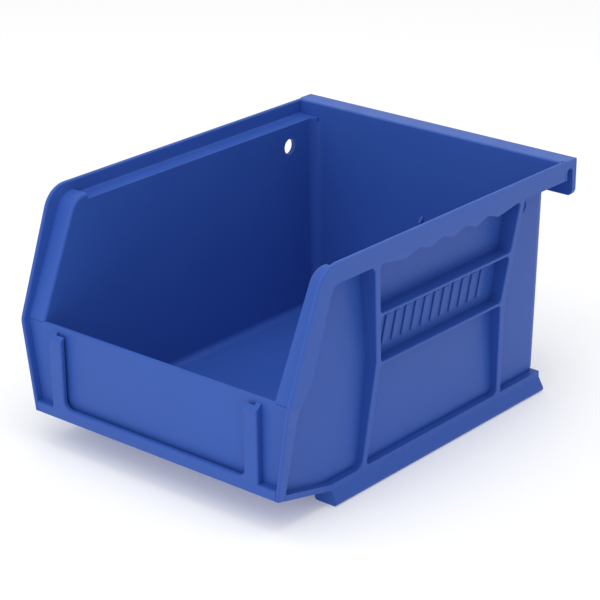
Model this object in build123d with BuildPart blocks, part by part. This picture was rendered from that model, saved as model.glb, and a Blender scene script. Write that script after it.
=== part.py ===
"""Hang-and-stack parts bin, a single thin-walled polypropylene moulding.

The moulding is divided into its named regions: the tub's floor and walls, the rims
with their stacking ledges, the front flanges, the ribs that frame the side pockets,
the foot rails, the hanging lip and the label holder. Neighbouring regions share a
face, and nothing between them moves.

Frame: X across the bin, -Y to the front, +Z up. The origin lies under the middle of
the bin, on the plane that the foot rails stand on. A setback is a distance forward
from the outer face of the hanging lip. The right side (+X) is built first, and the
left side is its mirror image.
"""

import os
from math import radians, tan

from build123d import *

os.makedirs("parts", exist_ok=True)

# ---- Driving dimensions, mm ----
length = 136.0  # lip face to the foremost corner of the sides
width = 104.8  # over the two rims
height = 76.2  # rim top above the underside of the feet
wall = 1.5  # tub walls, floor and ledges
rim_wall = 1.3  # rims and front plates
draft = 1.1  # degrees, on all four tub walls
edge = 0.6  # rounding of the free edges
tub_corner, cavity_corner = 4.0, 2.5  # upright corners of the tub, outside and inside
foot_corner_share = 0.85  # of that radius, along the foot of the back wall
bend_round = 8.0  # where the sides' ribs and plates change direction
reach = 20.0  # how far cutting bodies run past the bin

# Heights above the underside of the feet
foot_top = 4.6
bottom_rib_top = 6.5
front_wall_top = 38.7
widest_front = 38.5  # where the sides reach furthest forward
rib_bend = 39.0  # where the upright ribs come closest to each other
band_bottom = 69.9  # underside of the rim band
ledge_top = 71.4
nose_top = 73.2  # stop at the front end of each ledge
lip_bottom = 63.8
strip_bottom = height - wall  # underside of the strip that carries the lip

# Distances from the middle plane
tub_half = 46.5  # outer face of the tub, at the ledge
bottom_rib_half = 47.4
widest_front_half = 51.8
front_bottom_half = 47.6  # a side's outer face at its lowest front corner
foot_inner, foot_outer = 41.3, 50.0
foot_round = 1.0
band_lean = 0.1  # how much closer in the rim band is at its underside
corner_half = 41.0  # side walls, with their rounded corners, begin here

# Setbacks from the lip face
lip_thickness = 2.2
lip_draft = 3.0  # degrees, on the lip's inner face
lip_corner = 2.5
lip_root = 0.4  # rounding where the lip meets its strip
slot_width = 2.8  # arched opening through the gussets at the lip's ends
slot_top = 73.5  # height
back_outer = 5.7  # outer face of the back wall, at the rim
rear_end = 8.3  # rear ends of the foot rails and the bottom ribs
front_face = 133.6  # outer face of the front wall, at its top
rise_start = 112.0  # foot rails end here, and the underside climbs to the front
nose_rear = 113.0
plate_rear = 132.5  # rear edge of the front plates, low down

front_bottom = (135.6, 10.1)  # setback and height of the lowest front corner
rim_front = 122.0  # where the rim's top edge would meet its front edge
flange_lean = 0.451  # setback lost per millimetre of height up a front flange
# Rear edge of the front plates: setback, height and corner radius of each bend
plate_bends = [
    (plate_rear, 12.0, 2.0),
    (plate_rear - 1, 37.0, 2.5),
    (126.2, 44.0, 6.0),
    (117.6, band_bottom, 2.5),
]
front_strip = 2.9  # width of the strip that a plate's front edges lie in
plate_edge = 0.55  # rounding along the front plates' edges
flange_corner, nose_round = 6.0, 0.7  # of the flanges' top corner and of the ledges' stops
flange_round = 1.0  # of the flanges' inner edges
rim_corner = 9.0  # radius of the rim's front corner, in the side view

# Ribs of the side pockets: setback of the front edge at band, bend and bottom rib
front_rib = (99.4, 95.2, 98.2)
rear_rib = (29.2, 34.6, 31.6)
upright_thickness = 2.3
level_ribs = {"upper": 53.7, "lower": 38.0}  # mid-height of each level rib
level_thickness = 1.0
rib_edge = 0.35  # rounding along the ribs' outer edges
pocket_radius = 1.4
front_pocket_radius = 2.5
soffit_radius = 1.2  # in the upper pockets' top corners
corner_room = 4.0  # how far the front pockets' rounded corners run ahead of the ribs

# Finger scallops along the underside of the right and left bands
scallop_depth = 1.9
scallop_pitch = 11.1
scallop_first = 90.4  # setback of the first crest
scallop_round = 3.0
scallop_points = 9  # troughs and crests

# Label holder on the front wall
label_depth = 2.4  # from the wall to the holder's front plane
label_corner = 2.5  # corners of the holder's opening
label_round = 0.6  # of the holder's front edges
card_gap = 1.0  # between the wall and the overhanging plates
card_floor = 12.0  # height that a card would stand on
band_top = 13.2  # top of the band across the foot of the wall
label_ledge_top = 14.0
rail_inner, rail_stem, rail_outer = 35.2, 38.4, 40.2
rail_top = 37.3
rail_top_slope = 2.0  # fall of the rails' tops from the wall to the front plane
rail_foot = 16.5  # height at which the rails leave the ledge

# Rib on the back wall
centre_rib_top = 47.0
centre_rib_width = 1.0
centre_rib_depth = 1.6

# Peg hole through each side wall
hole_diameter = 5.2
hole_setback, hole_height = 20.3, 64.3

tilt = tan(radians(draft))
rim_half = width / 2
rim_inner = rim_half - rim_wall
band_half = rim_half - band_lean
rise = (front_bottom[1] - foot_top) / (front_bottom[0] - rise_start)


def at(setback, z):
    """Point of a side view (Y, Z) at this setback and height."""
    return (length / 2 - setback, z)


def underside(setback):
    """Height of the bin's underside, flat at the rear and climbing to the front."""
    return foot_top + max(0.0, setback - rise_start) * rise


def front_wall_setback(z):
    """Setback of the front wall's drafted outer face."""
    return front_face - (front_wall_top - z) * tilt


def back_wall_setback(z):
    """Setback of the back wall's drafted outer face."""
    return back_outer + (height - z) * tilt


def front_line(z):
    """Setback of a side's front edge in the side view, before its corners are rounded."""
    if z > height - 0.01:
        return nose_rear
    if z > widest_front:
        return length - (z - widest_front) * (length - rim_front) / (height - widest_front)
    return length - (widest_front - z) * (length - front_bottom[0]) / (widest_front - front_bottom[1])


def rib_setback(rib, z):
    """Setback of an upright rib's front edge: two straight runs that meet at the bend."""
    top, bend, bottom = rib
    if z > rib_bend:
        return bend + (top - bend) * (z - rib_bend) / (band_bottom - rib_bend)
    return bottom + (bend - bottom) * (z - bottom_rib_top) / (rib_bend - bottom_rib_top)


def side_face(*corners):
    """Face in the side view: each corner is a setback, a height and its rounding."""
    with BuildSketch(mode=Mode.PRIVATE) as face:
        with BuildLine():
            Polyline(*[at(setback, z) for setback, z, radius in corners], close=True)
        make_face()
        for setback, z, radius in corners:
            if radius > 0:
                fillet(vertices().sort_by_distance((*at(setback, z), 0))[0], radius)
    return face.sketch


def side_slab(points, inner, outer):
    """Solid between two X planes, with this outline in the side view."""
    with BuildPart(mode=Mode.PRIVATE) as slab:
        with BuildSketch(Plane.YZ.offset(inner)):
            with BuildLine():
                Polyline(*points, close=True)
            make_face()
        extrude(amount=outer - inner)
    return slab.part


def front_slab(points, near, far):
    """Solid between two setbacks, with this outline in the front view."""
    with BuildPart(mode=Mode.PRIVATE) as slab:
        with BuildSketch(Plane.XZ.offset(near - length / 2)):
            with BuildLine():
                Polyline(*points, close=True)
            make_face()
        extrude(amount=far - near)
    return slab.part


def drafted_tub(inset, bottom, corner):
    """The tub's drafted box, its walls this far in, standing on this height."""
    front = front_wall_setback(bottom) - inset
    rear = back_wall_setback(bottom) + inset
    half = tub_half - inset - (ledge_top - bottom) * tilt
    with BuildPart(mode=Mode.PRIVATE) as tub:
        with BuildSketch(Plane.XY.offset(bottom)):
            with Locations((0, length / 2 - (front + rear) / 2)):
                Rectangle(2 * half, front - rear)
            fillet(vertices().group_by(Axis.Y)[-1], corner)
        extrude(amount=height + inset - bottom, taper=-draft)
        with BuildSketch(Plane.YZ):
            with BuildLine():
                Polyline(
                    at(0, bottom),
                    at(rise_start, bottom),
                    at(length + reach, underside(length + reach) - foot_top + bottom),
                    at(length + reach, height + reach),
                    at(0, height + reach),
                    close=True,
                )
            make_face()
        extrude(amount=width, both=True, mode=Mode.INTERSECT)
        lowest = edges().filter_by(Axis.X).group_by(Axis.Z)[0]
        fillet(lowest.sort_by(Axis.Y)[-1], foot_corner_share * corner)
    return tub.part


# ---- Bodies that the regions are cut from and trimmed to ----

tub_block = drafted_tub(0, foot_top, tub_corner)
cavity = drafted_tub(wall, foot_top + wall, cavity_corner)

# The pockets' ribs end on one leaning plane, but the front plates stay wide down to
# the top of the front wall and turn in below it
rib_profile = [
    (bottom_rib_half, 0),
    (bottom_rib_half, bottom_rib_top),
    (band_half, band_bottom),
    (rim_half, height),
]
turn_in = (widest_front_half - front_bottom_half) / (widest_front - front_bottom[1])
plate_profile = [
    (widest_front_half - widest_front * turn_in, 0),
    (widest_front_half, widest_front),
    (rim_half, height),
]
inner_profile = [(x - rim_wall, z) for x, z in plate_profile]
rib_envelope = front_slab([(0, 0), *rib_profile, (0, height)], 0, length + reach)
plate_envelope = front_slab([(0, 0), *plate_profile, (0, height)], 0, length + reach)
plate_core = front_slab(
    [
        (0, -reach),
        (inner_profile[0][0], -reach),
        *inner_profile,
        (rim_inner, height + reach),
        (0, height + reach),
    ],
    0,
    length + reach,
)

# Everything between the planes of the side walls' inner faces
opening_core = front_slab(
    [
        (0, 0),
        (tub_half - wall - ledge_top * tilt, 0),
        (tub_half - wall + (height + reach - ledge_top) * tilt, height + reach),
        (0, height + reach),
    ],
    0,
    length + reach,
)

floor_zone = side_slab(
    [
        at(0, 0),
        at(0, foot_top + wall),
        at(rise_start, foot_top + wall),
        at(length, underside(length) + wall),
        at(length, 0),
    ],
    -width,
    width,
)

above_underside = side_slab(
    [
        at(-reach, foot_top),
        at(rise_start, foot_top),
        at(length + reach, underside(length + reach)),
        at(length + reach, height + reach),
        at(-reach, height + reach),
    ],
    -width,
    width,
)

# Everything forward of the front wall's inner face and of the flanges' rear faces
flange_top_setback = front_face - (band_bottom - front_wall_top) * flange_lean - wall
front_zone = side_slab(
    [
        at(front_wall_setback(0) - wall, 0),
        at(front_face - wall, front_wall_top),
        at(flange_top_setback, band_bottom),
        at(flange_top_setback, height + reach),
        at(length + reach, height + reach),
        at(length + reach, 0),
    ],
    -width,
    width,
)

# Everything behind the back wall's inner face
back_zone = side_slab(
    [
        at(-reach, 0),
        at(back_wall_setback(0) + wall, 0),
        at(back_wall_setback(height + reach) + wall, height + reach),
        at(-reach, height + reach),
    ],
    -width,
    width,
)

# ---- Tub ----

with BuildPart() as floor_panel:
    add(tub_block)
    add(floor_zone, mode=Mode.INTERSECT)
    add(front_zone, mode=Mode.SUBTRACT)
    add(back_zone, mode=Mode.SUBTRACT)

# Side walls, with the rounded corners that join them to the back wall and that wall to
# the floor
with BuildPart(mode=Mode.PRIVATE) as lining:
    add(tub_block)
    add(cavity, mode=Mode.SUBTRACT)
    add(floor_zone, mode=Mode.SUBTRACT)
    add(front_zone, mode=Mode.SUBTRACT)
    add(back_zone, mode=Mode.SUBTRACT)
    split(bisect_by=Plane.XY.offset(band_bottom), keep=Keep.BOTTOM)

with BuildPart(mode=Mode.PRIVATE) as wall_foot:
    add(lining.part)
    split(bisect_by=Plane.YZ.offset(corner_half), keep=Keep.BOTTOM)
    split(bisect_by=Plane.YZ.offset(-corner_half), keep=Keep.TOP)

with BuildPart() as back_wall:
    add(tub_block)
    add(back_zone, mode=Mode.INTERSECT)
    with BuildSketch(Plane.YZ):
        with BuildLine():
            Polyline(
                at(back_wall_setback(band_bottom), band_bottom),
                at(back_wall_setback(band_bottom) + wall, band_bottom),
                at(back_outer + wall, height),
                at(back_outer, height),
                close=True,
            )
        make_face()
    extrude(amount=rim_inner, both=True)
    top_edges = edges().filter_by(Axis.X).group_by(Axis.Z)[-1]
    fillet(top_edges.sort_by(Axis.Y)[0], edge)
    add(wall_foot.part)

with BuildPart() as front_wall:
    with BuildSketch(Plane.YZ):
        with BuildLine():
            Polyline(
                at(front_wall_setback(underside(front_face)), underside(front_face)),
                at(front_face, front_wall_top),
                at(front_face - wall, front_wall_top),
                at(front_wall_setback(underside(front_face - wall)) - wall, underside(front_face - wall)),
                close=True,
            )
        make_face()
    extrude(amount=width, both=True)
    add(plate_core, mode=Mode.INTERSECT)
    add(mirror(front_wall.part, about=Plane.YZ))
    top_edges = edges().filter_by(Axis.X).group_by(Axis.Z)[-1]
    fillet(top_edges, edge)

with BuildPart() as side_wall_right:
    add(lining.part)
    split(bisect_by=Plane.YZ.offset(corner_half), keep=Keep.TOP)
    with Locations(Plane.YZ.offset(tub_half) * Pos(*at(hole_setback, hole_height))):
        Hole(hole_diameter / 2)

# ---- Rim, ledge and front frame of the right side ----

with BuildPart() as top_rim_right:
    with BuildSketch(Plane.XZ.offset(back_outer - length / 2)):
        with BuildLine():
            Polyline(
                (tub_half - 2 * wall, band_bottom),
                (band_half, band_bottom),
                (rim_half, height),
                (rim_inner, height),
                (rim_inner, ledge_top),
                (tub_half - 2 * wall, ledge_top),
                close=True,
            )
        make_face()
        fillet(vertices().group_by(Axis.Y)[-1], edge)
        fillet(vertices().sort_by_distance((rim_inner, ledge_top, 0))[0], edge)
    extrude(amount=nose_rear - back_outer)
    add(cavity, mode=Mode.SUBTRACT)
    add(back_wall.part, mode=Mode.SUBTRACT)

# Front flange: it closes the space between the tub and the front plate, and its top
# rolls back into the stop at the front end of the ledge
nose_front = front_face - (nose_top - front_wall_top) * flange_lean
with BuildPart() as front_flange_right:
    with BuildSketch(Plane.YZ.offset(tub_half - 2 * wall)):
        with BuildLine():
            Polyline(
                at(front_face, front_wall_top),
                at(nose_front, nose_top),
                at(nose_rear, nose_top),
                at(nose_rear, band_bottom),
                at(flange_top_setback, band_bottom),
                at(front_face - wall, front_wall_top),
                close=True,
            )
        make_face()
        top_corners = vertices().group_by(Axis.Y)[-1].sort_by(Axis.X)
        fillet(top_corners[0], flange_corner)
        fillet(top_corners[-1], nose_round)
    extrude(amount=reach)
    add(opening_core, mode=Mode.SUBTRACT)
    add(plate_core, mode=Mode.INTERSECT)
    inner_edges = edges().filter_by(lambda side: side.length > reach and side.center().X < tub_half)
    fillet(inner_edges.sort_by(Axis.Y)[0], flange_round)

# Front plate: the side's front edge, from the rounded top corner to the underside
with BuildPart(mode=Mode.PRIVATE) as sharp_plate:
    with BuildSketch(Plane.YZ.offset(tub_half - 2 * wall)):
        add(
            side_face(
                (nose_rear, height, 0),
                (rim_front, height, rim_corner),
                (length, widest_front, bend_round),
                (*front_bottom, 0),
                (plate_rear, underside(plate_rear), 0),
                *plate_bends,
                (nose_rear, band_bottom, 0),
            )
        )
    extrude(amount=reach)
    add(plate_envelope, mode=Mode.INTERSECT)
    add(plate_core, mode=Mode.SUBTRACT)


def long_front_edges(plate_half):
    """The two edges that run down the front of half of a front plate."""
    ahead = [
        side
        for side in plate_half.edges()
        if all(length / 2 - end.Y > front_line(end.Z) - front_strip for end in (side @ 0, side @ 1))
    ]
    lengthwise = [side for side in ahead if side.bounding_box().size.X < side.length / 2]
    return [side for side in lengthwise if side.length > rim_wall and side.center().Z > label_ledge_top]


with BuildPart() as front_plate_upper_right:
    add(sharp_plate.part)
    split(bisect_by=Plane.XY.offset(widest_front), keep=Keep.TOP)
    fillet(long_front_edges(front_plate_upper_right), plate_edge)

with BuildPart() as front_plate_lower_right:
    add(sharp_plate.part)
    split(bisect_by=Plane.XY.offset(widest_front), keep=Keep.BOTTOM)
    fillet(long_front_edges(front_plate_lower_right), plate_edge)

# ---- Ribs of the right side ----

with BuildPart() as bottom_rib_right:
    with BuildSketch(Plane.YZ.offset(tub_half - 3 * wall)):
        with BuildLine():
            Polyline(
                at(rear_end, foot_top),
                at(rise_start, foot_top),
                at(plate_rear, underside(plate_rear)),
                at(plate_rear, underside(plate_rear) + bottom_rib_top - foot_top),
                at(rise_start, bottom_rib_top),
                at(rear_end, bottom_rib_top),
                close=True,
            )
        make_face()
    extrude(amount=reach)
    add(rib_envelope, mode=Mode.INTERSECT)
    add(tub_block, mode=Mode.SUBTRACT)
    add(front_wall.part, mode=Mode.SUBTRACT)

# Lattice of the side pockets: a panel with rounded windows between the ribs. Scallops
# run along the top of the upper window, and a front window opens towards the plate.
half_level = level_thickness / 2
scallops = [
    (scallop_first - step * scallop_pitch / 2, band_bottom - (step % 2) * scallop_depth, scallop_round)
    for step in range(1, scallop_points + 1)
]


def window(low, high, top_corner, soffit):
    """Window between the upright ribs, with these points along its top."""
    return side_face(
        (rib_setback(front_rib, low) - upright_thickness, low, pocket_radius),
        (rib_setback(front_rib, high) - upright_thickness, high, top_corner),
        *soffit,
        (rib_setback(rear_rib, high), high, top_corner),
        (rib_setback(rear_rib, low), low, pocket_radius),
    )


with BuildPart() as lattice:
    with BuildSketch(Plane.YZ.offset(tub_half - 3 * wall)):
        add(
            side_face(
                (front_rib[0] + corner_room, band_bottom, 0),
                (front_rib[1] + corner_room, rib_bend, 0),
                (front_rib[2] + corner_room, bottom_rib_top, 0),
                (rear_rib[2] - upright_thickness, bottom_rib_top, 0),
                (rear_rib[1] - upright_thickness, rib_bend, bend_round),
                (rear_rib[0] - upright_thickness, band_bottom, 0),
            )
        )
        add(
            side_face(
                (front_rib[0], band_bottom, front_pocket_radius),
                (front_rib[1], rib_bend, bend_round),
                (front_rib[2], bottom_rib_top, front_pocket_radius),
                (front_rib[2] + reach, bottom_rib_top, 0),
                (front_rib[0] + reach, band_bottom, 0),
            ),
            mode=Mode.SUBTRACT,
        )
        upper_window = window(level_ribs["upper"] + half_level, band_bottom, soffit_radius, scallops)
        add(upper_window, mode=Mode.SUBTRACT)
        add(
            window(level_ribs["lower"] + half_level, level_ribs["upper"] - half_level, pocket_radius, []),
            mode=Mode.SUBTRACT,
        )
        add(window(bottom_rib_top, level_ribs["lower"] - half_level, pocket_radius, []), mode=Mode.SUBTRACT)
    extrude(amount=reach)
    add(rib_envelope, mode=Mode.INTERSECT)
    add(tub_block, mode=Mode.SUBTRACT)
    outer_face = faces().filter_by(lambda face: face.normal_at().X > 0.9).sort_by(Axis.X)[-1]
    outline = outer_face.outer_wire().edges()
    fillet([side for side in outline if side.bounding_box().size.Z > half_level], rib_edge)
    outer_face = faces().filter_by(lambda face: face.normal_at().X > 0.9).sort_by(Axis.X)[-1]
    fillet([side for wire in outer_face.inner_wires() for side in wire.edges()], rib_edge)

# The lattice is divided along its ribs
seam = pocket_radius + half_level
front_upright_zone = side_slab(
    [
        at(front_rib[0] + reach, band_bottom),
        at(front_rib[2] + reach, bottom_rib_top),
        at(front_rib[2] - upright_thickness - seam, bottom_rib_top),
        at(front_rib[1] - upright_thickness - seam, rib_bend),
        at(front_rib[0] - upright_thickness - seam, band_bottom),
    ],
    0,
    width,
)
rear_upright_zone = side_slab(
    [
        at(0, band_bottom),
        at(0, bottom_rib_top),
        at(rear_rib[2] + seam, bottom_rib_top),
        at(rear_rib[1] + seam, rib_bend),
        at(rear_rib[0] + seam, band_bottom),
    ],
    0,
    width,
)

with BuildPart() as front_upright_rib_right:
    add(lattice.part)
    add(front_upright_zone, mode=Mode.INTERSECT)

with BuildPart() as rear_upright_rib_right:
    add(lattice.part)
    add(rear_upright_zone, mode=Mode.INTERSECT)

with BuildPart(mode=Mode.PRIVATE) as level_lattice:
    add(lattice.part)
    add(front_upright_zone, mode=Mode.SUBTRACT)
    add(rear_upright_zone, mode=Mode.SUBTRACT)

with BuildPart() as upper_level_rib_right:
    add(level_lattice.part.solids().sort_by(Axis.Z)[1])

with BuildPart() as lower_level_rib_right:
    add(level_lattice.part.solids().sort_by(Axis.Z)[0])

# The scallops belong to the band above them
with top_rim_right:
    add(level_lattice.part.solids().sort_by(Axis.Z)[2])

with BuildPart() as foot_rail_right:
    with BuildSketch(Plane.XZ.offset(rear_end - length / 2)):
        with BuildLine():
            Polyline(
                (foot_inner, 0),
                (foot_outer, 0),
                (bottom_rib_half, foot_top),
                (foot_inner, foot_top),
                close=True,
            )
        make_face()
        fillet(vertices().group_by(Axis.Y)[0], foot_round)
    extrude(amount=rise_start - rear_end)

# ---- Back of the bin ----

# Hanging lip: a plate on a strip behind the back wall, with a pierced gusset at each end
lip_bottom_thickness = lip_thickness - (strip_bottom - lip_bottom) * tan(radians(lip_draft))
with BuildPart() as hanging_lip:
    with BuildSketch(Plane.YZ):
        add(
            side_face(
                (0, height, edge),
                (0, lip_bottom, edge),
                (lip_bottom_thickness, lip_bottom, edge),
                (lip_thickness, strip_bottom, lip_root),
                (back_outer + wall * tilt, strip_bottom, 0),
                (back_outer, height, 0),
            )
        )
    extrude(amount=rim_half, both=True)
    with BuildSketch(Plane.XZ.offset(-length / 2)):
        with Locations((0, (height + lip_bottom) / 2 + reach / 2)):
            RectangleRounded(2 * rim_half, height - lip_bottom + reach, lip_corner)
    extrude(amount=2 * back_outer, both=True, mode=Mode.INTERSECT)
    with BuildSketch(Plane.YZ.offset(rim_inner)):
        add(
            side_face(
                (lip_thickness, strip_bottom, 0),
                (lip_thickness, band_bottom, 0),
                (back_outer, band_bottom, 0),
                (back_outer, strip_bottom, 0),
            )
        )
        with Locations(at(lip_thickness + slot_width / 2, slot_top - slot_width / 2)):
            Circle(slot_width / 2, mode=Mode.SUBTRACT)
            Rectangle(slot_width, 2 * slot_width, align=(Align.CENTER, Align.MAX), mode=Mode.SUBTRACT)
    extrude(amount=rim_wall)
    add(top_rim_right.part, mode=Mode.SUBTRACT)
    add(back_wall.part, mode=Mode.SUBTRACT)
    split(bisect_by=Plane.YZ, keep=Keep.TOP)
    mirror(about=Plane.YZ)

# Stiffening rib up the middle of the back wall's inner face
centre_rib_foot = foot_top + wall
foot_setback = back_wall_setback(centre_rib_foot) + wall
top_setback = back_wall_setback(centre_rib_top) + wall
with BuildPart() as back_centre_rib:
    with BuildSketch(Plane.YZ):
        add(
            side_face(
                (foot_setback, centre_rib_foot, 0),
                (top_setback, centre_rib_top, 0),
                (top_setback + centre_rib_depth, centre_rib_top - centre_rib_depth, 0),
                (foot_setback + centre_rib_depth, centre_rib_foot, 0),
            )
        )
    extrude(amount=centre_rib_width / 2, both=True)
    add(back_wall.part, mode=Mode.SUBTRACT)

# ---- Label holder: a U-shaped frame that stands off the front wall ----

# Its planes lean with the front wall. Heights in its sketches count from the wall's top.
front_plane = Plane(
    origin=(0, *at(front_face, front_wall_top)),
    x_dir=(1, 0, 0),
    z_dir=(0, -1, -tilt),
)


def front_box(inner, outer, bottom, top, near, far):
    """Block on the front wall, between two distances from the middle and two heights."""
    with BuildPart(mode=Mode.PRIVATE) as block:
        with BuildSketch(front_plane.offset(near)):
            with Locations(((inner + outer) / 2, (bottom + top) / 2 - front_wall_top)):
                Rectangle(outer - inner, top - bottom)
        extrude(amount=far - near)
    return block.part


with BuildPart() as label_frame:
    add(front_box(-rim_half, rim_half, 0, band_top, 0, label_depth))
    add(front_box(-rail_outer, rail_outer, 0, rail_top, 0, label_depth))
    add(front_box(-rail_stem, rail_stem, card_floor, rail_top + card_gap, 0, card_gap), mode=Mode.SUBTRACT)
    with BuildSketch(front_plane):
        with Locations((0, (label_ledge_top + rail_top + reach) / 2 - front_wall_top)):
            RectangleRounded(2 * rail_inner, rail_top + reach - label_ledge_top, label_corner)
    extrude(amount=2 * label_depth, mode=Mode.SUBTRACT)
    holder_face = faces().filter_by(lambda face: face.normal_at().Y < -0.9).sort_by(Axis.Y)[0]
    fillet([side for side in holder_face.edges() if side.center().Z > foot_top], label_round)

# Tops of the rails, sloping down to the front
rail_top_cut = side_slab(
    [
        at(front_face, rail_top),
        at(front_face + label_depth, rail_top - rail_top_slope),
        at(length + reach, rail_top - rail_top_slope),
        at(length + reach, height),
        at(front_face, height),
    ],
    -width,
    width,
)

with BuildPart() as label_ledge:
    add(label_frame.part)
    add(plate_core, mode=Mode.INTERSECT)
    add(above_underside, mode=Mode.INTERSECT)
    split(bisect_by=Plane.XY.offset(rail_foot), keep=Keep.BOTTOM)
    mirror(about=Plane.YZ)

with BuildPart() as label_rail_right:
    add(label_frame.part)
    add(rail_top_cut, mode=Mode.SUBTRACT)
    split(bisect_by=Plane.XY.offset(rail_foot), keep=Keep.TOP)
    split(bisect_by=Plane.YZ, keep=Keep.TOP)

# ---- Left side, and the files ----

right_side = {
    "side_wall": side_wall_right,
    "top_rim": top_rim_right,
    "front_flange": front_flange_right,
    "front_plate_upper": front_plate_upper_right,
    "front_plate_lower": front_plate_lower_right,
    "bottom_rib": bottom_rib_right,
    "foot_rail": foot_rail_right,
    "front_upright_rib": front_upright_rib_right,
    "rear_upright_rib": rear_upright_rib_right,
    "upper_level_rib": upper_level_rib_right,
    "lower_level_rib": lower_level_rib_right,
    "label_rail": label_rail_right,
}
regions = {
    "floor_panel": floor_panel,
    "front_wall": front_wall,
    "back_wall": back_wall,
    "hanging_lip": hanging_lip,
    "label_ledge": label_ledge,
    "back_centre_rib": back_centre_rib,
}
for name, region in right_side.items():
    with BuildPart() as left_region:
        mirror(region.part, about=Plane.YZ)
    regions[name + "_right"] = region
    regions[name + "_left"] = left_region

for name, region in regions.items():
    region.part.label = name
    export_step(region.part, f"parts/{name}.step")
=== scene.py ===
import math

import bmesh
import bpy
from mathutils import Matrix, Vector


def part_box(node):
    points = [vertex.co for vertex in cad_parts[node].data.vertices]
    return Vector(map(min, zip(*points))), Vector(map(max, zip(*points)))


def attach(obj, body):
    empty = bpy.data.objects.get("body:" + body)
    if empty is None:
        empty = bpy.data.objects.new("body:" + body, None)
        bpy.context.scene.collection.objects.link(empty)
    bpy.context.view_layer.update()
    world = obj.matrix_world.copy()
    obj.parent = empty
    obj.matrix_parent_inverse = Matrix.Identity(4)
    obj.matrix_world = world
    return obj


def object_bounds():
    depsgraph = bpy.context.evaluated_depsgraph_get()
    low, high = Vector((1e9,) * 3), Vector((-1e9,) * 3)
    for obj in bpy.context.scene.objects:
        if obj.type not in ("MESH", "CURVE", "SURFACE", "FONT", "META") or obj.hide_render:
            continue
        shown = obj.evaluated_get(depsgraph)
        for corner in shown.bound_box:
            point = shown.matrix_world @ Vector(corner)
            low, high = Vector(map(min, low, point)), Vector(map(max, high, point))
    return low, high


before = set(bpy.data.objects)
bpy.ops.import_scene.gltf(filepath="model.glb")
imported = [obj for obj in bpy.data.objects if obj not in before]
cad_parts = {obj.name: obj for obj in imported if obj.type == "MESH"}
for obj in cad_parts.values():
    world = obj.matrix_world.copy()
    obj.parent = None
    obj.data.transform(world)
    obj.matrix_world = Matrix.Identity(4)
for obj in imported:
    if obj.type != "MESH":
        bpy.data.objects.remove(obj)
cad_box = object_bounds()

# ---- Tub ----
# The bin is one injection-moulded piece of blue polypropylene, and the tub is its middle:
# the floor and four drafted walls. The mould was spark-eroded, so the skin is a fine,
# semi-matte grain, faintly cloudy where the melt slowed down.


def new_group(name, inputs, outputs):
    """Node group with these inputs (name, kind, default) and outputs (name, kind)."""
    group = bpy.data.node_groups.new(name, "ShaderNodeTree")
    for label, kind, default in inputs:
        socket = group.interface.new_socket(label, in_out="INPUT", socket_type="NodeSocket" + kind)
        socket.default_value = default
    for label, kind in outputs:
        group.interface.new_socket(label, in_out="OUTPUT", socket_type="NodeSocket" + kind)
    start = group.nodes.new("NodeGroupInput")
    end = group.nodes.new("NodeGroupOutput")
    return group, start.outputs, end.inputs


def feed(tree, socket, value):
    """Sets an input to a number, a colour or another node's output."""
    if isinstance(value, bpy.types.NodeSocket):
        tree.links.new(value, socket)
    else:
        socket.default_value = value


def add_node(tree, kind, settings=None, **inputs):
    """Node with these properties and inputs; an input's spaces are written as _."""
    node = tree.nodes.new(kind)
    for key, value in (settings or {}).items():
        setattr(node, key, value)
    for label, value in inputs.items():
        feed(tree, node.inputs[label.replace("_", " ")], value)
    return node


def noise(tree, place, scale, detail):
    """Noise at this many cycles per metre."""
    node = add_node(tree, "ShaderNodeTexNoise", Vector=place, Scale=scale, Detail=detail)
    return node.outputs["Fac"]


def remap(tree, value, low, high, to_low, to_high):
    """Value carried from one range to another, held at its ends."""
    limits = {"From_Min": low, "From_Max": high, "To_Min": to_low, "To_Max": to_high}
    return add_node(tree, "ShaderNodeMapRange", Value=value, **limits).outputs["Result"]


def combine(tree, operation, first, second):
    """Math on two values."""
    node = add_node(tree, "ShaderNodeMath", {"operation": operation})
    feed(tree, node.inputs[0], first)
    feed(tree, node.inputs[1], second)
    return node.outputs[0]


def blend_colours(tree, share, first, second):
    """Colour that goes from the first to the second with the share."""
    node = add_node(tree, "ShaderNodeMix", {"data_type": "RGBA"})
    tree.links.new(share, node.inputs["Factor"])
    colours = [socket for socket in node.inputs if socket.type == "RGBA"]
    for socket, value in zip(colours, (first, second)):
        feed(tree, socket, value)
    return next(socket for socket in node.outputs if socket.type == "RGBA")


# Clouds of slightly different pigment, and faint streaks along the way the melt flowed
melt_flow, flow_in, flow_out = new_group(
    "melt_flow",
    [
        ("Place", "Vector", (0, 0, 0)),
        ("Cloud scale", "Float", 30.0),
        ("Streak scale", "Float", 160.0),
    ],
    [("Cloud", "Float"), ("Streak", "Float")],
)
DRAWN_OUT = (1.0, 0.1, 0.3)
drawn_place = add_node(melt_flow, "ShaderNodeMapping", Vector=flow_in["Place"], Scale=DRAWN_OUT)
cloud_noise = noise(melt_flow, flow_in["Place"], flow_in["Cloud scale"], 3.0)
streak_noise = noise(melt_flow, drawn_place.outputs["Vector"], flow_in["Streak scale"], 2.0)
melt_flow.links.new(remap(melt_flow, cloud_noise, 0.3, 0.7, 0.0, 1.0), flow_out["Cloud"])
melt_flow.links.new(remap(melt_flow, streak_noise, 0.45, 0.75, 0.0, 1.0), flow_out["Streak"])

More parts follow.
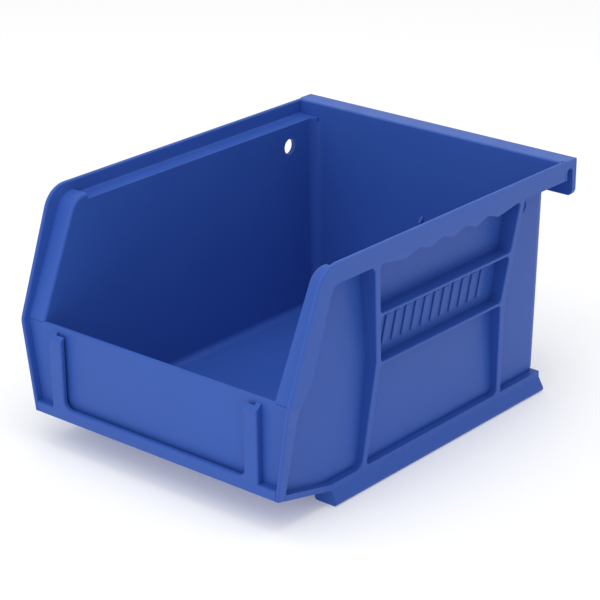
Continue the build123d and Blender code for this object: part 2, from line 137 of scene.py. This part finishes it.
# Spark-eroded grain: fine pits over a coarser orange peel, both finer than a millimetre
eroded_grain, grain_in, grain_out = new_group(
    "eroded_grain",
    [
        ("Place", "Vector", (0, 0, 0)),
        ("Peel scale", "Float", 1100.0),
        ("Pit scale", "Float", 3800.0),
    ],
    [("Height", "Float")],
)
PEEL_SHARE = 0.5
peel = noise(eroded_grain, grain_in["Place"], grain_in["Peel scale"], 1.0)
pits = noise(eroded_grain, grain_in["Place"], grain_in["Pit scale"], 2.0)
low_peel = combine(eroded_grain, "MULTIPLY", peel, PEEL_SHARE)
eroded_grain.links.new(combine(eroded_grain, "ADD", low_peel, pits), grain_out["Height"])

# Rubbing and painted highlight: broken pale marks on whatever lies within reach of a level.
# At a rim's top they are a painted highlight along its edges together with rub wear; at the floor
# they are scuffs.
rub_and_highlight_level, rub_highlight_in, rub_highlight_out = new_group(
    "rub_and_highlight_level",
    [
        ("Place", "Vector", (0, 0, 0)),
        ("Level", "Float", 0.0),
        ("Reach", "Float", 0.0005),
        ("Amount", "Float", 0.5),
    ],
    [("Rub and highlight", "Float")],
)
PATCH_SCALE = 140.0
height = add_node(rub_and_highlight_level, "ShaderNodeSeparateXYZ", Vector=rub_highlight_in["Place"]).outputs["Z"]
above = combine(rub_and_highlight_level, "SUBTRACT", height, rub_highlight_in["Level"])
below = combine(rub_and_highlight_level, "MULTIPLY", above, -1.0)
distance = combine(rub_and_highlight_level, "MAXIMUM", above, below)
reaches_away = combine(rub_and_highlight_level, "DIVIDE", distance, rub_highlight_in["Reach"])
nearness = remap(rub_and_highlight_level, reaches_away, 0.4, 1.0, 1.0, 0.0)
patch_noise = noise(rub_and_highlight_level, rub_highlight_in["Place"], PATCH_SCALE, 5.0)
patches = remap(rub_and_highlight_level, patch_noise, 0.35, 0.62, 0.55, 1.0)
marks = combine(rub_and_highlight_level, "MULTIPLY", nearness, patches)
marks_left = combine(rub_and_highlight_level, "MULTIPLY", marks, rub_highlight_in["Amount"])
rub_and_highlight_level.links.new(marks_left, rub_highlight_out["Rub and highlight"])

MOULDED_BLUE = (0.0345, 0.1000, 0.4250, 1.0)
DEEPER_BLUE = (0.0318, 0.0945, 0.4040, 1.0)
# Pale blue near the rim tops is a painted highlight together with rub wear; on the feet it is
# scuffing.
RUB_AND_HIGHLIGHT_BLUE = (0.0850, 0.1950, 0.6000, 1.0)
STREAK_SHARE = 0.3
RUBBED_POLISH = 0.12
GRAIN_STRENGTH = 0.3
GRAIN_DEPTH = 0.00003
POLYPROPYLENE_IOR = 1.49
SURFACE_SHINE = 0.22
RIM_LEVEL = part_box("hanging_lip")[1].z
RUB_AND_HIGHLIGHT_SHARE = 0.3


def moulded_finish(name, smoothest, roughest, level=0.0, reach=0.0004, amount=0.0):
    """Blue polypropylene between two roughnesses, rubbed and painted with a pale highlight this
    much near one level.
    """
    material = bpy.data.materials.new(name)
    material.use_nodes = True
    tree = material.node_tree
    shader = tree.nodes["Principled BSDF"]
    place = add_node(tree, "ShaderNodeTexCoord").outputs["Object"]
    flow = add_node(tree, "ShaderNodeGroup", {"node_tree": melt_flow}, Place=place)
    grain = add_node(tree, "ShaderNodeGroup", {"node_tree": eroded_grain}, Place=place)
    rub_and_highlight = add_node(tree, "ShaderNodeGroup", {"node_tree": rub_and_highlight_level}, Place=place)
    for label, value in (("Level", level), ("Reach", reach), ("Amount", amount)):
        rub_and_highlight.inputs[label].default_value = value
    clouded = blend_colours(tree, flow.outputs["Cloud"], DEEPER_BLUE, MOULDED_BLUE)
    streak_share = combine(tree, "MULTIPLY", flow.outputs["Streak"], STREAK_SHARE)
    streaked = blend_colours(tree, streak_share, clouded, MOULDED_BLUE)
    # Pale painted highlight with rub wear near the level
    rub_and_highlight_colour = blend_colours(tree, rub_and_highlight.outputs["Rub and highlight"], streaked, RUB_AND_HIGHLIGHT_BLUE)
    tree.links.new(rub_and_highlight_colour, shader.inputs["Base Color"])
    dullness = remap(tree, flow.outputs["Cloud"], 0.0, 1.0, smoothest, roughest)
    polish = combine(tree, "MULTIPLY", rub_and_highlight.outputs["Rub and highlight"], RUBBED_POLISH)
    tree.links.new(combine(tree, "SUBTRACT", dullness, polish), shader.inputs["Roughness"])
    bump = add_node(tree, "ShaderNodeBump", Strength=GRAIN_STRENGTH, Distance=GRAIN_DEPTH)
    tree.links.new(grain.outputs["Height"], bump.inputs["Height"])
    tree.links.new(bump.outputs["Normal"], shader.inputs["Normal"])
    shader.inputs["IOR"].default_value = POLYPROPYLENE_IOR
    shader.inputs["Specular IOR Level"].default_value = SURFACE_SHINE
    return material


def give_finish(material, *names):
    """Puts a material on these CAD nodes."""
    for name in names:
        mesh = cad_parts[name].data
        mesh.materials.clear()
        mesh.materials.append(material)


def both_sides(*names):
    """Names of the right and left nodes."""
    return [name + side for name in names for side in ("_right", "_left")]


# Near the rim level the tub's top edges get the pale painted highlight together with rub wear.
tub_finish = moulded_finish("moulded_tub", 0.38, 0.45, RIM_LEVEL, 0.0005, RUB_AND_HIGHLIGHT_SHARE)
give_finish(tub_finish, "floor_panel", "front_wall", "back_wall", "back_centre_rib")
give_finish(tub_finish, *both_sides("side_wall"))

# ---- Rims, ledges and front frame ----
# The rims stand outside the tub on their stacking ledges; flanges and plates carry them
# down to the front corners. Their tops are painted pale: a painted highlight with rub wear.

RIM_REACH = 0.0007
rim_finish = moulded_finish("moulded_rim", 0.36, 0.43, RIM_LEVEL, RIM_REACH, RUB_AND_HIGHLIGHT_SHARE)
give_finish(rim_finish, *both_sides("top_rim", "front_flange"))
give_finish(rim_finish, *both_sides("front_plate_upper", "front_plate_lower"))

# ---- Ribs of the sides ----
# Upright and level ribs stiffen each side wall and frame its pockets. They are thin,
# deep features of the same moulding, a little duller than the open walls.

rib_finish = moulded_finish("moulded_ribs", 0.39, 0.46)
give_finish(rib_finish, *both_sides("front_upright_rib", "rear_upright_rib", "bottom_rib"))
give_finish(rib_finish, *both_sides("upper_level_rib", "lower_level_rib"))

# ---- Foot rails ----
# Two flared rails that the bin slides and stacks on, so their undersides are scuffed.

SCUFFED_SHARE = 0.7
foot_finish = moulded_finish("moulded_feet", 0.38, 0.46, amount=SCUFFED_SHARE)
give_finish(foot_finish, *both_sides("foot_rail"))

# ---- Hanging lip ----
# The lip behind the back wall hooks over a rail or a louvre; its top has pale rub wear and a
# painted highlight.

lip_finish = moulded_finish("moulded_lip", 0.36, 0.43, RIM_LEVEL, RIM_REACH, RUB_AND_HIGHLIGHT_SHARE)
give_finish(lip_finish, "hanging_lip")

# ---- Label holder ----
# A U-shaped frame on the front wall, moulded in one with it, that a card slides into.

holder_finish = moulded_finish("moulded_label_holder", 0.37, 0.44)
give_finish(holder_finish, "label_ledge", *both_sides("label_rail"))

# ---- Raised bars in the middle pockets ----
# A plain row of slanting raised bars, moulded on each side wall between its two level
# ribs. They stand half a millimetre proud of the wall.

WALL_DRAFT = math.radians(1.1)
BAR_COUNT = 11
BAR_PITCH = 0.0046
BAR_WIDTH = 0.0021
BAR_HEIGHT = 0.0088
BAR_PROUD = 0.0005
BAR_SUNK = 0.0005
BAR_SLANT = math.tan(math.radians(14))
BAR_EDGE = 0.0002

for side, outward in (("right", 1), ("left", -1)):
    wall_low, wall_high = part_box("side_wall_" + side)
    upper_low, upper_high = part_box("upper_level_rib_" + side)
    lower_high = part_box("lower_level_rib_" + side)[1]
    row_height = (upper_low.z + lower_high.z) / 2
    row_middle = (upper_low.y + upper_high.y) / 2
    wall_top = max(abs(wall_low.x), abs(wall_high.x))
    wall_face = wall_top - (wall_high.z - row_height) * math.tan(WALL_DRAFT)
    bars = bmesh.new()
    for bar in range(BAR_COUNT):
        block = bmesh.ops.create_cube(bars, size=1.0)["verts"]
        bmesh.ops.scale(bars, vec=(BAR_PROUD + BAR_SUNK, BAR_WIDTH, BAR_HEIGHT), verts=block)
        along = row_middle + (bar - (BAR_COUNT - 1) / 2) * BAR_PITCH
        for corner in block:
            corner.co.y += corner.co.z * BAR_SLANT + along
            corner.co.x += (BAR_PROUD - BAR_SUNK) / 2
    edges = bars.edges[:]
    bmesh.ops.bevel(
        bars, geom=edges, offset=BAR_EDGE, segments=2, profile=0.5, affect="EDGES", material=-1
    )
    lean = Matrix.Rotation(WALL_DRAFT, 3, "Y")
    bmesh.ops.rotate(bars, cent=(0, 0, 0), matrix=lean, verts=bars.verts)
    bmesh.ops.translate(bars, vec=(wall_face, 0.0, row_height), verts=bars.verts)
    bmesh.ops.scale(bars, vec=(outward, 1.0, 1.0), verts=bars.verts)
    bmesh.ops.recalc_face_normals(bars, faces=bars.faces)
    bar_mesh = bpy.data.meshes.new("raised_bars_" + side)
    bars.to_mesh(bar_mesh)
    bars.free()
    bar_mesh.materials.append(tub_finish)
    raised_bars = bpy.data.objects.new("raised_bars_" + side, bar_mesh)
    bpy.context.scene.collection.objects.link(raised_bars)
    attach(raised_bars, "root")

# ---- Surroundings ----
# A plain sheet of pale paper under even studio light, with three soft boxes.

PAPER_HALF = 4.0
PAPER_WHITE = (0.86, 0.86, 0.86, 1.0)
PAPER_GLOW = 0.2
PURE_WHITE = (1.0, 1.0, 1.0, 1.0)
STUDIO_STRENGTH = 0.72
paper_sheet = bmesh.new()
bmesh.ops.create_grid(paper_sheet, x_segments=1, y_segments=1, size=PAPER_HALF)
paper_mesh = bpy.data.meshes.new("pale_paper")
paper_sheet.to_mesh(paper_mesh)
paper_sheet.free()
pale_paper = bpy.data.objects.new("pale_paper", paper_mesh)
bpy.context.scene.collection.objects.link(pale_paper)
paper_finish = bpy.data.materials.new("pale_paper")
paper_finish.use_nodes = True
paper_shader = paper_finish.node_tree.nodes["Principled BSDF"]
paper_shader.inputs["Base Color"].default_value = PAPER_WHITE
paper_shader.inputs["Roughness"].default_value = 0.9
paper_shader.inputs["Specular IOR Level"].default_value = 0.0
paper_shader.inputs["Emission Color"].default_value = PURE_WHITE
paper_shader.inputs["Emission Strength"].default_value = PAPER_GLOW
paper_mesh.materials.append(paper_finish)

studio_air = bpy.data.worlds.new("studio_air")
studio_air.use_nodes = True
background = studio_air.node_tree.nodes["Background"]
background.inputs["Color"].default_value = PURE_WHITE
background.inputs["Strength"].default_value = STUDIO_STRENGTH
bpy.context.scene.world = studio_air
bpy.context.scene.view_settings.view_transform = "Standard"


def soft_box(name, place, size, watts):
    """Square area light at this place, turned to the middle of the bin."""
    lamp = bpy.data.lights.new(name, "AREA")
    lamp.shape = "SQUARE"
    lamp.size = size
    lamp.energy = watts
    holder = bpy.data.objects.new(name, lamp)
    aim = (cad_box[0] + cad_box[1]) / 2
    holder.location = place
    holder.rotation_euler = (aim - Vector(place)).to_track_quat("-Z", "Y").to_euler()
    bpy.context.scene.collection.objects.link(holder)


soft_box("overhead_box", (0.05, -0.05, 0.9), 0.5, 2.0)
soft_box("front_box", (-0.1, -0.9, 0.5), 0.5, 1.1)
soft_box("high_front_box", (0.15, -0.6, 0.9), 0.4, 1.2)

# ---- Camera ----
# Above the bin's front right corner, with a long lens.

CAMERA_PLACE = (0.40365, -0.48566, 0.29235)
CAMERA_TURN = (math.radians(67.97), 0.0, math.radians(39.79))
camera_lens = bpy.data.cameras.new("camera")
camera_lens.sensor_width = 36.0
camera_lens.lens = 134.6
camera_lens.clip_start = 0.01
camera = bpy.data.objects.new("camera", camera_lens)
camera.location = CAMERA_PLACE
camera.rotation_euler = CAMERA_TURN
bpy.context.scene.collection.objects.link(camera)
bpy.context.scene.camera = camera
